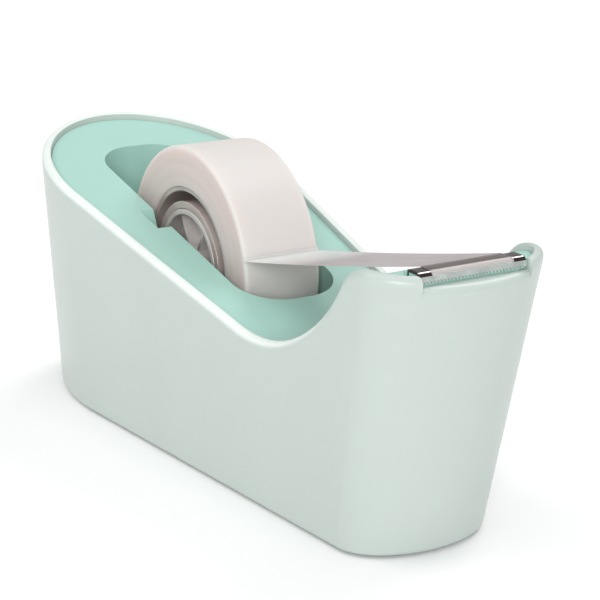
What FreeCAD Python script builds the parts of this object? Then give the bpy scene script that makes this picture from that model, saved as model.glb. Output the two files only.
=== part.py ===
"""Weighted desk dispenser for 19 mm adhesive tape, as a FreeCAD document.

Millimetres, +Z up, +X towards the cutter, +Y across the roll.  The origin is on the table, under the
middle of the casing.  The casing is a drafted shell with a sloping rim, a valley and a front tower; the
tray inside follows the same rim a little lower and carries the well, the axle slots and the cutter.
"""
import FreeCAD, Part
import math
import os
import re

import Sketcher
from FreeCAD import Placement, Rotation, Vector

DOC = FreeCAD.newDocument("TapeDispenser")
SHEET = DOC.addObject("Spreadsheet::Sheet", "Spec")

DIMENSIONS = [
    # outline of the casing, as lines and ellipse arcs that lean with height
    ("half_width_mid", 22.44),
    ("side_taper", 0.084),
    ("side_draft", 0.067),
    ("back_reach", 78.24),
    ("back_draft", 0.021),
    ("back_cap_depth", 37.3),
    ("front_reach", 68.58),
    ("front_draft", 0.193),
    ("front_cap_depth", 11.3),
    ("wall", 2.3),
    ("shell_bottom", 0.5),
    ("form_height", 70.0),
    # rim curve seen from the side
    ("valley_start_x", 26.0),
    ("valley_start_z", 38.91),
    ("rim_slope_angle", 13.3),
    ("valley_radius", 28.0),
    ("valley_end_angle", 25.0),
    ("ramp_radius", 41.0),
    ("ramp_end_angle", 59.0),
    ("brow_radius", 9.0),
    ("brow_end_angle", 6.0),
    ("nose_radius", 14.0),
    ("nose_end_angle", -6.6),
    ("rim_fillet", 1.5),
    ("rim_inner_fillet", 0.4),
    ("lip_fillet", 1.6),
    ("base_fillet", 1.2),
    ("gap_half_width", 12.75),
    ("gap_floor", 58.5),
    ("gap_back_x", 70.0),
    ("lip_back_x", 75.8),
    ("lip_back_depth", 5.0),
    # tray
    ("tray_drop", 1.5),
    ("tray_thickness", 2.0),
    ("tray_clearance", 0.12),
    ("well_back_x", -61.65),
    ("well_front_x", 17.3),
    ("well_half_width", 12.25),
    ("well_corner_radius", 10.0),
    ("well_wall", 1.8),
    ("well_floor_top", 9.6),
    ("well_floor_thickness", 1.8),
    ("slot_angle", 26.0),
    ("slot_depth", 3.4),
    ("cheek_wall", 1.6),
    ("lead_in_width", 2.9),
    ("lead_in_depth", 3.8),
    ("cheek_length", 24.0),
    ("cheek_front", 7.0),
    ("cheek_drop", 6.0),
    ("post_radius", 3.4),
    ("post_front_x", 30.0),
    ("post_front_y", 9.0),
    ("post_back_x", -46.0),
    ("post_back_y", 18.6),
    # cutter and its seat
    ("nose_front_x", 75.6),
    ("blade_back_x", 72.0),
    ("blade_bend_x", 75.3),
    ("blade_top", 61.05),
    ("blade_width", 24.8),
    ("blade_sheet", 0.5),
    ("flange_angle", 38.0),
    ("flange_length", 2.3),
    ("tooth_pitch", 0.8),
    ("tooth_height", 0.6),
    ("lug_depth", 3.6),
    ("seat_rim", 1.2),
    ("seat_gap", 0.1),
    ("nose_depth", 12.0),
    ("nose_thickness", 2.2),
    ("nose_overlap", 3.0),
    ("flange_cover", 2.6),
    # roll, core, hub and axle
    ("roll_x", -18.05),
    ("roll_z", 39.5),
    ("tape_width", 19.0),
    ("tape_radius", 27.2),
    ("winding_bore", 17.9),
    ("winding_chamfer", 0.3),
    ("core_outer", 17.85),
    ("core_outer_wall", 1.1),
    ("core_inner", 12.7),
    ("core_inner_wall", 1.75),
    ("core_web", 1.6),
    ("core_width", 18.4),
    ("hub_radius", 12.65),
    ("hub_wall", 1.3),
    ("hub_width", 18.6),
    ("hub_web_inset", 4.4),
    ("hub_web", 1.2),
    ("hub_rib", 0.9),
    ("hub_rib_count", 6),
    ("hub_rib_inset", 1.6),
    ("hub_rib_bite", 0.4),
    ("boss_radius", 4.1),
    ("boss_half_length", 11.3),
    ("spigot_length", 3.0),
    ("spigot_gap", 0.1),
    ("spigot_wall", 1.0),
    ("axle_radius", 2.0),
    ("running_gap", 0.06),
    ("axle_length", 30.8),
    ("axle_chamfer", 0.4),
    ("washer_gap", 0.12),
    ("washer_thickness", 0.6),
    ("washer_radius", 3.9),
    # free strip of tape
    ("strip_sheet", 0.12),
    ("strip_roll_gap", 0.35),
    ("strip_blade_gap", 0.05),
    ("strip_sag", 0.5),
    ("strip_peel_x", 26.2),
    ("strip_peel_z", 6.9),
    ("strip_end", 1.1),
    # base
    ("pad_thickness", 1.0),
    ("glue_thickness", 0.2),
    ("pad_inset", 2.6),
    ("pad_top", 1.2),
    ("base_thickness", 3.0),
    ("base_top", 4.2),
    ("base_clearance", 0.15),
    ("pillar_radius", 3.2),
    ("pillar_height", 13.0),
    ("pillar_back_x", -60.0),
    ("pillar_back_y", 16.0),
    ("pillar_front_x", 57.5),
    ("pillar_front_y", 11.8),
    ("pillar_web", 1.6),
    ("pillar_web_reach", 7.0),
    ("screw_shank", 1.4),
    ("pilot_radius", 1.45),
    ("pilot_top", 13.0),
    ("screw_head_radius", 2.7),
    ("screw_head_height", 1.5),
    ("screw_length", 9.0),
    ("screw_hole", 1.6),
    ("screw_play", 0.1),
    ("recess_radius", 0.9),
    ("recess_depth", 0.8),
    ("ballast_gap", 1.2),
    ("front_ballast_start", 36.5),
    ("front_ballast_step", 53.4),
    ("front_ballast_end", 66.0),
    ("front_ballast_tongue", 8.0),
    ("front_ballast_top", 31.0),
    ("back_ballast_start", -76.0),
    ("back_ballast_end", -64.6),
    ("back_ballast_top", 50.0),
    ("plate_ballast_start", -50.0),
    ("plate_ballast_end", 14.0),
    ("plate_ballast_half_width", 11.0),
    ("plate_ballast_thickness", 3.2),
    ("bolt_front_x", 45.0),
    ("bolt_back_x", -70.0),
    ("bolt_y", 7.5),
    ("bolt_shank", 1.9),
    ("bolt_hole", 2.1),
    ("bolt_length", 8.0),
    ("bolt_head_radius", 3.4),
]

FAR = 200.0
TOUCH = 0.02
PARTS = []


def fill_sheet():
    SHEET.set("A1", "dimension")
    SHEET.set("B1", "value")
    for row, (name, value) in enumerate(DIMENSIONS, start=2):
        SHEET.set(f"A{row}", name)
        SHEET.set(f"B{row}", str(value))
        SHEET.setAlias(f"B{row}", name)
    DOC.recompute()


def val(name):
    """A driving dimension, read back from the sheet."""
    return float(SHEET.get(name))


def bind(obj, **formulas):
    """Bind properties to sheet cells; '__' in a keyword stands for the dot of a nested property."""
    for prop, formula in formulas.items():
        obj.setExpression(prop.replace("__", "."), formula)
    return obj


def names_to_cells(formula):
    """Write the sheet's name in front of every dimension used in a formula."""
    known = {name for name, _ in DIMENSIONS}
    return re.sub(
        r"[a-z][a-z_]*", lambda found: "Spec." + found[0] if found[0] in known else found[0], formula
    )


def solve(formula):
    """Present value of a formula of sheet names."""
    return float(SHEET.evalExpression(names_to_cells(formula)))


def place(obj, x="0", y="0", z="0"):
    return bind(
        obj,
        Placement__Base__x=names_to_cells(x),
        Placement__Base__y=names_to_cells(y),
        Placement__Base__z=names_to_cells(z),
    )


def box(name, length, width, height, x, y, z):
    """Box from its sizes and its lowest corner, each a formula of sheet names."""
    obj = DOC.addObject("Part::Box", name)
    bind(
        obj,
        Length=names_to_cells(length),
        Width=names_to_cells(width),
        Height=names_to_cells(height),
    )
    return place(obj, x, y, z)


def upright(name, radius, height, x, y, z):
    """Cylinder standing along Z."""
    obj = DOC.addObject("Part::Cylinder", name)
    bind(obj, Radius=names_to_cells(radius), Height=names_to_cells(height))
    return place(obj, x, y, z)


def across(name, radius, length, y, x="roll_x", z="roll_z"):
    """Cylinder lying along +Y, starting at y."""
    obj = DOC.addObject("Part::Cylinder", name)
    bind(obj, Radius=names_to_cells(radius), Height=names_to_cells(length))
    obj.Placement = Placement(Vector(0, 0, 0), Rotation(Vector(1, 0, 0), -90))
    return place(obj, x, y, z)


def feature(name, shape):
    obj = DOC.addObject("Part::Feature", name)
    obj.Shape = shape
    obj.Placement = Placement()
    return obj


def cut(name, base, tools):
    tool = tools[0] if len(tools) == 1 else fuse(name + "_tools", tools)
    obj = DOC.addObject("Part::Cut", name)
    obj.Base = base
    obj.Tool = tool
    return obj


def fuse(name, shapes):
    obj = DOC.addObject("Part::MultiFuse", name)
    obj.Shapes = shapes
    obj.Refine = True
    return obj


def common(name, shapes):
    obj = DOC.addObject("Part::MultiCommon", name)
    obj.Shapes = shapes
    return obj


def group(name, shapes):
    """Separate identical solids kept together as one sub-part."""
    obj = DOC.addObject("Part::Compound", name)
    obj.Links = shapes
    return obj


def publish(obj, label):
    obj.Label = label
    PARTS.append(obj)
    return obj


# ---------------------------------------------------------------- casing forms

def outline(height, inset):
    """Closed outline of the casing at a height, moved inwards by inset: two ellipse arcs and two lines."""
    taper = val("side_taper")
    slant = math.sqrt(1 + taper ** 2)
    half = val("half_width_mid") + val("side_draft") * height - inset * slant
    back_depth = val("back_cap_depth") - inset
    front_depth = val("front_cap_depth") - inset
    back_centre = -val("back_reach") - val("back_draft") * height + inset + back_depth
    front_centre = val("front_reach") + val("front_draft") * height - inset - front_depth

    def half_axis(centre, depth):
        return math.sqrt((half - taper * centre) ** 2 - (taper * depth) ** 2)

    back_half = half_axis(back_centre, back_depth)
    front_half = half_axis(front_centre, front_depth)
    back_touch = math.atan2(back_half, taper * back_depth)
    front_touch = math.atan2(front_half, taper * front_depth)

    back_mid = Vector(back_centre, 0, height)
    back_tip = back_mid + Vector(-back_depth, 0, 0)
    back_side = back_mid + Vector(0, back_half, 0)
    back_curve = Part.Ellipse(back_tip, back_side, back_mid)
    back_arc = Part.Arc(back_curve, back_touch - math.pi, math.pi - back_touch).toShape()
    front_mid = Vector(front_centre, 0, height)
    front_curve = Part.Ellipse(
        front_mid + Vector(0, -front_half, 0), front_mid + Vector(front_depth, 0, 0), front_mid
    )
    front_arc = Part.Arc(front_curve, math.pi / 2 - front_touch, math.pi / 2 + front_touch).toShape()

    def end(arc, side):
        return max((v.Point for v in arc.Vertexes), key=lambda point: side * point.y)

    sides = [Part.makeLine(end(front_arc, side), end(back_arc, side)) for side in (1, -1)]
    return Part.Wire(Part.__sortEdges__([front_arc, sides[0], back_arc, sides[1]]))


def casing_form(name, inset, low, high):
    shape = Part.makeLoft([outline(low, inset), outline(high, inset)], True, True)
    return feature(name, shape)


def heading(angle):
    return Vector(math.cos(angle), 0, math.sin(angle))


def left_of(angle):
    return Vector(-math.sin(angle), 0, math.cos(angle))


def rim_curve(drop):
    """Edges of the rim seen from the side, moved down square to itself by drop, back to front."""
    slope, valley, ramp, brow, nose = (
        math.radians(a)
        for a in (
            -val("rim_slope_angle"),
            val("valley_end_angle"),
            val("ramp_end_angle"),
            val("brow_end_angle"),
            val("nose_end_angle"),
        )
    )
    point = Vector(val("valley_start_x"), 0, val("valley_start_z")) - left_of(slope) * drop
    edges = [Part.makeLine(point - heading(slope) * FAR, point)]
    turns = [
        (slope, valley, val("valley_radius") + drop),
        (valley, ramp, val("ramp_radius") + drop),
        (ramp, brow, drop - val("brow_radius")),
        (brow, nose, drop - val("nose_radius")),
    ]
    for start, stop, radius in turns:
        centre = point + left_of(start) * radius
        middle = centre - left_of((start + stop) / 2) * radius
        last = centre - left_of(stop) * radius
        edges.append(Part.Arc(point, middle, last).toShape())
        point = last
    edges.append(Part.makeLine(point, point + heading(nose) * FAR))
    return edges


def above_rim(name, drop):
    """Everything over the rim curve, as a prism across the whole width."""
    edges = rim_curve(drop)
    first = edges[0].Vertexes[0].Point
    last = edges[-1].Vertexes[-1].Point
    roof = FAR
    corners = [last, Vector(last.x, 0, roof), Vector(first.x, 0, roof), first]
    edges += [Part.makeLine(a, b) for a, b in zip(corners, corners[1:])]
    face = Part.Face(Part.Wire(edges))
    face.translate(Vector(0, -FAR / 2, 0))
    return feature(name, face.extrude(Vector(0, FAR, 0)))


def four_places(name, make, x_front, y_front, x_back, y_back):
    """The same thing at two front and two back places, left and right."""
    made = []
    for side, sign in (("left", ""), ("right", "-1 * ")):
        made.append(make(f"{name}_front_{side}", x_front, sign + y_front))
        made.append(make(f"{name}_back_{side}", x_back, sign + y_back))
    return made


def pillar_places(name, make):
    return four_places(name, make, "pillar_front_x", "pillar_front_y", "pillar_back_x", "pillar_back_y")


def post_places(name, make):
    return four_places(name, make, "post_front_x", "post_front_y", "post_back_x", "post_back_y")


def rounded(name, base, radius, wanted):
    """Fillet every edge of base whose middle point satisfies wanted."""
    DOC.recompute()
    chosen = []
    for number, edge in enumerate(base.Shape.Edges, start=1):
        middle = edge.valueAt((edge.FirstParameter + edge.LastParameter) / 2)
        if wanted(middle):
            chosen.append((number, val(radius), val(radius)))
    if not chosen:
        raise RuntimeError(f"{name} finds no edge")
    obj = DOC.addObject("Part::Fillet", name)
    obj.Base = base
    obj.Edges = chosen
    return obj


# ---------------------------------------------------------------- casing

def rim_height(x):
    """Height of the rim over a place along the casing."""
    probe = Part.makeLine(Vector(x, 0, 0), Vector(x, 0, FAR))
    heights = []
    for edge in rim_curve(0):
        distance, pairs, _ = edge.distToShape(probe)
        if distance < 1e-6:
            heights.append(pairs[0][0].z)
    return min(heights)


def make_outer_shell(forms):
    cavity = forms["cavity"]
    hollow = cut("shell_hollow", forms["outer"], [cavity, forms["above_rim"]])
    gap = box(
        "front_gap", "front_reach", "2 * gap_half_width", "form_height",
        "gap_back_x", "-1 * gap_half_width", "gap_floor",
    )
    backing = box(
        "lip_backing", "front_reach", "2 * gap_half_width", "lip_back_depth",
        "lip_back_x", "-1 * gap_half_width", "gap_floor - lip_back_depth",
    )
    lip = common("lip_inside", [forms["outer"], backing])
    rimmed = fuse("shell_rimmed", [cut("shell_gapped", hollow, [gap]), lip])

    def outside(point):
        return distance_to_form(point, forms["outer"]) < TOUCH

    def inside(point):
        return distance_to_form(point, cavity) < TOUCH

    def on_rim(point):
        return abs(point.z - rim_height(point.x)) < TOUCH

    def on_lip(point):
        return abs(point.z - val("gap_floor")) < TOUCH and abs(point.y) < 1

    def at_bottom(point):
        return abs(point.z - val("shell_bottom")) < TOUCH

    steps = [
        ("shell_lip", "lip_fillet", lambda point: on_lip(point) and outside(point)),
        ("shell_foot", "base_fillet", lambda point: at_bottom(point) and outside(point)),
        ("shell_rim_outside", "rim_fillet", lambda point: on_rim(point) and outside(point)),
        ("shell_rim_inside", "rim_inner_fillet", lambda point: on_rim(point) and inside(point)),
    ]
    smooth = rimmed
    for name, radius, wanted in steps:
        smooth = rounded(name, smooth, radius, wanted)
    pillars = pillar_places(
        "pillar", lambda name, x, y: upright(name, "pillar_radius", "pillar_height", x, y, "base_top")
    )
    webs = pillar_places("pillar_web", make_web)
    pillars_inside = common("pillars_inside", [forms["outer"], fuse("pillars_and_webs", pillars + webs)])
    pilots = pillar_places("pilot", pilot_hole)
    return cut("shell", fuse("shell_with_pillars", [smooth, pillars_inside]), pilots)


def pilot_hole(name, x, y):
    """Hole for a screw's thread, from below."""
    return upright(name, "pilot_radius", "pilot_top", x, y, "0")


def make_web(name, x, y):
    """Rib from a pillar out to the side wall."""
    start = f"{y} - pillar_web_reach" if y.startswith("-1") else y
    return box(
        name, "pillar_web", "pillar_web_reach", "pillar_height",
        f"{x} - 0.5 * pillar_web", start, "base_top",
    )


def distance_to_form(point, form):
    """Distance from a point to the leaning side faces of a casing form."""
    vertex = Part.Vertex(point)
    sides = [face for face in form.Shape.Faces if face.BoundBox.ZLength > 1]
    return min(vertex.distToShape(face)[0] for face in sides)


# ---------------------------------------------------------------- tray

def body_sketch(body, name, role):
    """Sketch on one of the body's own origin planes."""
    sketch = body.newObject("Sketcher::SketchObject", name)
    plane = next(o for o in body.Origin.OriginFeatures if o.Role == role)
    sketch.AttachmentSupport = [(plane, "")]
    sketch.MapMode = "FlatFace"
    return sketch


def hold(sketch, kind, where, formula):
    """Dimensional constraint driven by a formula of sheet names."""
    index = sketch.addConstraint(Sketcher.Constraint(kind, *where, solve(formula)))
    sketch.setExpression(f"Constraints[{index}]", names_to_cells(formula))


def polygon(sketch, corners):
    """Closed polygon whose corners are pairs of formulas of sheet names."""
    points = [Vector(solve(u), solve(v), 0) for u, v in corners]
    count = len(points)
    for number, point in enumerate(points):
        sketch.addGeometry(Part.LineSegment(point, points[(number + 1) % count]))
    for number in range(count):
        sketch.addConstraint(Sketcher.Constraint("Coincident", number, 2, (number + 1) % count, 1))
    for number, (u, v) in enumerate(corners):
        hold(sketch, "DistanceX", (-1, 1, number, 1), u)
        hold(sketch, "DistanceY", (-1, 1, number, 1), v)


def turned(name, corners):
    """Body of revolution about its own Y axis; corners are (radius, position along Y)."""
    body = DOC.addObject("PartDesign::Body", name)
    sketch = body_sketch(body, name + "_section", "XY_Plane")
    polygon(sketch, corners)
    turn = body.newObject("PartDesign::Revolution", name + "_turn")
    turn.Profile = sketch
    turn.ReferenceAxis = (sketch, ["V_Axis"])
    turn.Angle = 360
    return place(body, x="roll_x", z="roll_z")


def padded(name, corners, width):
    """Body with a section in the XZ plane, padded evenly to both sides."""
    body = DOC.addObject("PartDesign::Body", name)
    sketch = body_sketch(body, name + "_section", "XZ_Plane")
    polygon(sketch, corners)
    pad = body.newObject("PartDesign::Pad", name + "_pad")
    pad.Profile = sketch
    pad.Midplane = True
    bind(pad, Length=names_to_cells(width))
    return body


# ---------------------------------------------------------------- tray

def well_prism(name, grow, low, height):
    """The well's rounded plan, grown outwards, as an upright prism."""
    body = DOC.addObject("PartDesign::Body", name)
    sketch = body_sketch(body, name + "_plan", "XY_Plane")
    left = solve(f"well_back_x - {grow}")
    right = solve(f"well_front_x + {grow}")
    half = solve(f"well_half_width + {grow}")
    radius = solve(f"well_corner_radius + {grow}")
    centres = [
        (right - radius, half - radius),
        (left + radius, half - radius),
        (left + radius, radius - half),
        (right - radius, radius - half),
    ]
    for number, (x, y) in enumerate(centres):
        circle = Part.Circle(Vector(x, y, 0), Vector(0, 0, 1), radius)
        start = number * math.pi / 2
        sketch.addGeometry(Part.ArcOfCircle(circle, start, start + math.pi / 2))
    for arc in range(4):
        following = (arc + 1) % 4
        sketch.addGeometry(Part.LineSegment(sketch.getPoint(arc, 2), sketch.getPoint(following, 1)))
        sketch.addConstraint(Sketcher.Constraint("Tangent", arc, 2, 4 + arc, 1))
        sketch.addConstraint(Sketcher.Constraint("Tangent", 4 + arc, 2, following, 1))
    for arc in (1, 2, 3):
        sketch.addConstraint(Sketcher.Constraint("Equal", 0, arc))
    sketch.addConstraint(Sketcher.Constraint("Horizontal", 4))
    sketch.addConstraint(Sketcher.Constraint("Vertical", 5))
    sketch.addConstraint(Sketcher.Constraint("Horizontal", 6))
    hold(sketch, "Radius", (0,), f"well_corner_radius + {grow}")
    hold(sketch, "DistanceX", (-1, 1, 7, 1), f"well_front_x + {grow}")
    hold(sketch, "DistanceX", (-1, 1, 5, 1), f"well_back_x - {grow}")
    hold(sketch, "DistanceY", (-1, 1, 4, 1), f"well_half_width + {grow}")
    hold(sketch, "DistanceY", (-1, 1, 6, 1), f"-1 * (well_half_width + {grow})")
    pad = body.newObject("PartDesign::Pad", name + "_pad")
    pad.Profile = sketch
    bind(pad, Length=names_to_cells(height))
    return place(body, z=low)


def tray_height(x):
    """Height of the tray's upper face over a place along the casing."""
    return rim_height(x) - val("tray_drop") / math.cos(math.radians(val("rim_slope_angle")))


def slot_prism(name, y_low, y_high):
    """Axle slot: a round-ended channel leading up and back from the axle, wider at its mouth."""
    radius = val("axle_radius") + val("running_gap")
    angle = math.radians(val("slot_angle"))
    up = Vector(-math.sin(angle), 0, math.cos(angle))
    side = Vector(math.cos(angle), 0, math.sin(angle))
    axle = Vector(val("roll_x"), 0, val("roll_z"))
    mouth_x = val("roll_x") - val("lead_in_width")
    reach = (tray_height(mouth_x) - val("roll_z")) / math.cos(angle)
    above = 2 * val("lead_in_depth")
    front = axle + side * radius
    back = axle - side * radius
    flare = side * val("lead_in_width")
    corners = [
        front,
        front + up * (reach + above),
        back + up * (reach + above) - flare,
        back + up * reach - flare,
        back + up * (reach - val("lead_in_depth")),
        back,
    ]
    edges = [Part.makeLine(a, b) for a, b in zip(corners, corners[1:])]
    edges.append(Part.Arc(back, axle - up * radius, front).toShape())
    face = Part.Face(Part.Wire(edges))
    face.translate(Vector(0, y_low, 0))
    return feature(name, face.extrude(Vector(0, y_high - y_low, 0)))


def make_inner_tray(forms):
    skin = common("tray_skin", [forms["tray"], forms["above_tray_underside"]])
    well_low = "well_floor_top - well_floor_thickness"
    well_outside = well_prism("well_outside", "well_wall", well_low, "form_height")
    cheeks = [
        box(
            f"axle_cheek_{side}", "cheek_length", "slot_depth + cheek_wall", "roll_z",
            "roll_x + cheek_front - cheek_length", y, "roll_z - cheek_drop",
        )
        for side, y in (
            ("left", "well_half_width"),
            ("right", "-1 * (well_half_width + slot_depth + cheek_wall)"),
        )
    ]
    posts = post_places(
        "tray_post", lambda name, x, y: upright(name, "post_radius", "form_height", x, y, "base_top")
    )
    nose_wall = box(
        "nose_wall", "nose_thickness", "2 * (gap_half_width + nose_overlap)", "nose_depth",
        "nose_front_x - nose_thickness", "-1 * (gap_half_width + nose_overlap)", "blade_top - nose_depth",
    )
    seat_root = seat_block("cutter_seat_root", "blade_top - 2 * lug_depth", "gap_floor + seat_gap")
    nose = common("nose_inside", [forms["tray"], fuse("nose_blocks", [nose_wall, seat_root])])
    seat = seat_block("cutter_seat", "gap_floor + seat_gap", "blade_top - blade_sheet")
    solid = fuse("tray_solid", [skin, well_outside, nose] + cheeks + posts)
    trimmed = cut("tray_trimmed", solid, [forms["above_tray"]])
    seated = fuse("tray_seated", [trimmed, seat])
    well = well_prism("well", "0", "well_floor_top", "form_height")
    wall_inside = val("well_half_width") - 0.5 * val("well_wall")
    deep = val("well_half_width") + val("slot_depth")
    slots = [slot_prism("slot_left", wall_inside, deep), slot_prism("slot_right", -deep, -wall_inside)]
    pilots = post_places("post_pilot", pilot_hole)
    lug_slot = box(
        "lug_slot",
        "blade_sheet + seat_gap",
        "blade_width + 2 * seat_gap",
        "lug_depth + seat_gap + nose_depth",
        "blade_back_x - 0.5 * seat_gap", "-0.5 * blade_width - seat_gap", "blade_top - lug_depth - seat_gap",
    )
    lip_room = box(
        "lip_room", "nose_depth", "2 * (gap_half_width + seat_gap)", "form_height",
        "lip_back_x - seat_gap", "-1 * (gap_half_width + seat_gap)", "gap_floor - lip_back_depth - seat_gap",
    )
    return cut("tray", seated, [well, nose_face(), lip_room, lug_slot] + slots + pilots)


def seat_block(name, low, high):
    """Slice of the cutter's seat between two heights."""
    return box(
        name, "nose_front_x - blade_back_x + seat_rim", "blade_width", f"{high} - ({low})",
        "blade_back_x - seat_rim", "-0.5 * blade_width", low,
    )


def nose_face():
    """Wedge in front of the cutter's flange, which gives the seat its sloping front."""
    angle = math.radians(val("flange_angle"))
    down = Vector(math.sin(angle), 0, -math.cos(angle))
    square = Vector(math.cos(angle), 0, math.sin(angle))
    bend = Vector(val("blade_bend_x"), 0, val("blade_top"))
    start = bend - square * (val("blade_sheet") + val("strip_sheet"))
    foot = start + down * val("flange_cover")
    roof = start - down * val("flange_cover")
    front = Vector(val("nose_depth"), 0, 0)
    drop = Vector(0, 0, -val("nose_depth"))
    corners = [roof, foot, foot + drop, foot + drop + front, roof + front]
    face = Part.Face(Part.makePolygon(corners + corners[:1]))
    face.translate(Vector(0, -FAR / 2, 0))
    return feature("nose_face", face.extrude(Vector(0, FAR, 0)))


# ---------------------------------------------------------------- cutter

def make_cutter_blade():
    """Bent strip of steel: a lug pushed into the seat, a flat top and a toothed front flange."""
    down_x = "sin(flange_angle * 1 deg)"
    down_z = "cos(flange_angle * 1 deg)"
    tip_x = f"blade_bend_x + flange_length * {down_x}"
    tip_z = f"blade_top - flange_length * {down_z}"
    under_bend = f"blade_bend_x - blade_sheet * (1 - {down_x}) / {down_z}"
    corners = [
        ("blade_back_x", "blade_top - lug_depth"),
        ("blade_back_x", "blade_top"),
        ("blade_bend_x", "blade_top"),
        (tip_x, tip_z),
        (f"{tip_x} - blade_sheet * {down_z}", f"{tip_z} - blade_sheet * {down_x}"),
        (under_bend, "blade_top - blade_sheet"),
        ("blade_back_x + blade_sheet", "blade_top - blade_sheet"),
        ("blade_back_x + blade_sheet", "blade_top - lug_depth"),
    ]
    body = padded("blade", corners, "blade_width")
    notch = body_sketch(body, "blade_notch", "YZ_Plane")
    notch.AttachmentOffset = Placement(Vector(0, 0, val("blade_bend_x")), Rotation())
    root = f"{tip_z} + tooth_height"
    low = f"{tip_z} - blade_sheet"
    start = "-0.5 * blade_width"
    polygon(notch, [
        (f"{start} - 0.5 * tooth_pitch", low),
        (f"{start} + 0.5 * tooth_pitch", low),
        (start, root),
    ])
    DOC.recompute()
    before = body.Shape.Volume
    bite = body.newObject("PartDesign::Pocket", "blade_bite")
    bite.Profile = notch
    bind(bite, Length=names_to_cells("2 * flange_length"))
    bite.Reversed = True
    DOC.recompute()
    if body.Shape.Volume >= before:
        raise RuntimeError("the tooth notch cuts nothing")
    row = body.newObject("PartDesign::LinearPattern", "blade_teeth")
    row.Originals = [bite]
    row.Direction = (notch, ["H_Axis"])
    bind(
        row,
        Length=names_to_cells("blade_width"),
        Occurrences=names_to_cells("blade_width / tooth_pitch + 1"),
    )
    body.Tip = row
    return body


# ---------------------------------------------------------------- roll

def make_tape_winding():
    half = "0.5 * tape_width"
    return turned("winding", [
        ("winding_bore", f"-1 * {half}"),
        ("tape_radius - winding_chamfer", f"-1 * {half}"),
        ("tape_radius", f"winding_chamfer - {half}"),
        ("tape_radius", f"{half} - winding_chamfer"),
        ("tape_radius - winding_chamfer", half),
        ("winding_bore", half),
    ])


def make_tape_core():
    """Two rings joined by a web."""
    half = "0.5 * core_width"
    web = "0.5 * core_web"
    inner = "core_inner + core_inner_wall"
    outer = "core_outer - core_outer_wall"
    return turned("core", [
        ("core_inner", f"-1 * {half}"),
        (inner, f"-1 * {half}"),
        (inner, f"-1 * {web}"),
        (outer, f"-1 * {web}"),
        (outer, f"-1 * {half}"),
        ("core_outer", f"-1 * {half}"),
        ("core_outer", half),
        (outer, half),
        (outer, web),
        (inner, web),
        (inner, half),
        ("core_inner", half),
    ])


def make_hub(name, side, has_spigot):
    """Half of the hub: drum, recessed web, boss and ribs; one half has the spigot that joins them."""
    bore = "axle_radius + running_gap"
    drum = "hub_radius - hub_wall"
    face = f"{side} * 0.5 * hub_width"
    web_out = f"{side} * (0.5 * hub_width - hub_web_inset)"
    web_in = f"{side} * (0.5 * hub_width - hub_web_inset - hub_web)"
    corners = [
        (bore, "0"),
        (bore, f"{side} * boss_half_length"),
        ("boss_radius", f"{side} * boss_half_length"),
        ("boss_radius", web_out),
        (drum, web_out),
        (drum, face),
        ("hub_radius", face),
        ("hub_radius", "0"),
    ]
    if has_spigot:
        spigot = f"-1 * {side} * spigot_length"
        corners += [
            (f"{drum} - spigot_gap", "0"),
            (f"{drum} - spigot_gap", spigot),
            (f"{drum} - spigot_gap - spigot_wall", spigot),
            (f"{drum} - spigot_gap - spigot_wall", web_in),
        ]
    else:
        corners += [(drum, "0"), (drum, web_in)]
    corners += [("boss_radius", web_in), ("boss_radius", "0")]
    drum_body = turned(name + "_drum", corners)
    count = int(val("hub_rib_count"))
    ribs = [hub_rib(f"{name}_rib_{number}", side, number * 360 / count) for number in range(count)]
    return fuse(name + "_ribbed", [drum_body] + ribs)


def hub_rib(name, side, turn):
    """Radial rib between boss and drum, outside the hub's web, turned about the axle."""
    rib = DOC.addObject("Part::Box", name)
    bind(
        rib,
        Length=names_to_cells("hub_radius - hub_wall - boss_radius + 2 * hub_rib_bite"),
        Width=names_to_cells("hub_web_inset + hub_rib_bite - hub_rib_inset"),
        Height=names_to_cells("hub_rib"),
    )
    rib.Placement = Placement(Vector(0, 0, 0), Rotation(Vector(0, 1, 0), turn))
    reach = "(boss_radius - hub_rib_bite)"
    half = "0.5 * hub_rib"
    start = {
        "1": "0.5 * hub_width - hub_web_inset - hub_rib_bite",
        "-1": "hub_rib_inset - 0.5 * hub_width",
    }
    return place(
        rib,
        f"roll_x + {reach} * cos({turn} * 1 deg) - {half} * sin({turn} * 1 deg)",
        start[side],
        f"roll_z - {reach} * sin({turn} * 1 deg) - {half} * cos({turn} * 1 deg)",
    )


def make_axle_pin():
    end = "0.5 * axle_length"
    return turned("pin", [
        ("0", f"-1 * {end}"),
        ("axle_radius - axle_chamfer", f"-1 * {end}"),
        ("axle_radius", f"axle_chamfer - {end}"),
        ("axle_radius", f"{end} - axle_chamfer"),
        ("axle_radius - axle_chamfer", end),
        ("0", end),
    ])


def make_axle_washers():
    """A thin washer on the axle at each end of the hub's boss."""
    washers = []
    for side, low in (
        ("left", "boss_half_length + washer_gap"),
        ("right", "-1 * (boss_half_length + washer_gap + washer_thickness)"),
    ):
        disc = across(f"washer_disc_{side}", "washer_radius", "washer_thickness", low)
        hole = across(f"washer_hole_{side}", "axle_radius + running_gap", "washer_thickness", low)
        washers.append(cut(f"washer_{side}", disc, [hole]))
    return group("washers", washers)


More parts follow.
